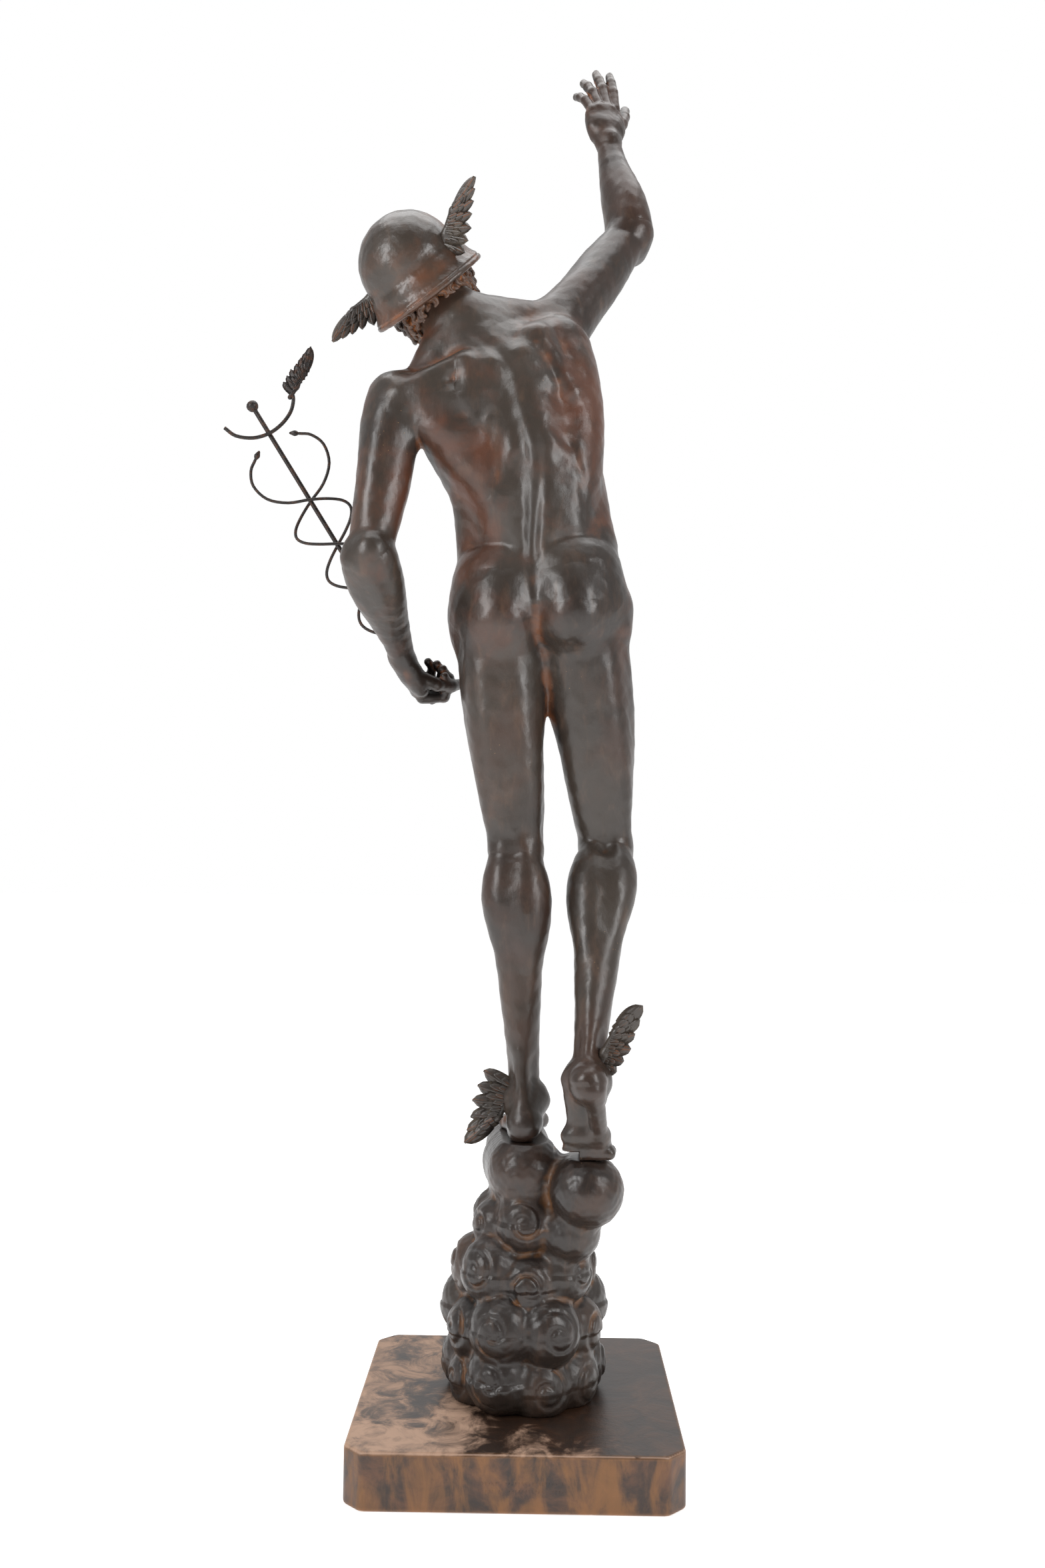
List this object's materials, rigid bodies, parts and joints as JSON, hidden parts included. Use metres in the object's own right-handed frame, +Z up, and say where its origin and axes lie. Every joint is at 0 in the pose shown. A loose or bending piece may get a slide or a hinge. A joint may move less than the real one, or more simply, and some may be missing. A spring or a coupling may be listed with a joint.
{
  "type": "mercury sculpture",
  "caption": "Patinated figure of a youth in a winged cap with a raised hand and a caduceus, on a mound of clouds and a square plinth with cut corners.",
  "frame": {"origin": "centre of the plinth's underside", "axes": "+Z up; the figure faces +Y and its right side is +X, so the view along +Y shows its back"},
  "size_m": [0.6235, 0.4258, 1.9464],
  "materials": {
    "body_patina": "dark brown patina over fired clay, semi-gloss, reddish brown where it is rubbed",
    "mound_patina": "dark brown patina over fired clay, ochre in the hollows",
    "plinth_patina": "dark brown patina, worn to tan at the left, the front and the edges",
    "wing_patina": "greyish brown patina, small pale chips",
    "dark_wire": "dull dark brown metal rod and wire"
  },
  "bodies": {
    "root": {"plinth": "plinth_patina", "cloud_mound": "mound_patina", "figure": "body_patina", "cap_wing_left": "wing_patina", "cap_wing_right": "wing_patina", "ankle_wing_left": "wing_patina", "ankle_wing_right": "wing_patina", "caduceus_staff": "dark_wire", "snake_left": "dark_wire", "snake_right": "dark_wire", "wing_fork": "dark_wire"}
  },
  "joints": []
}
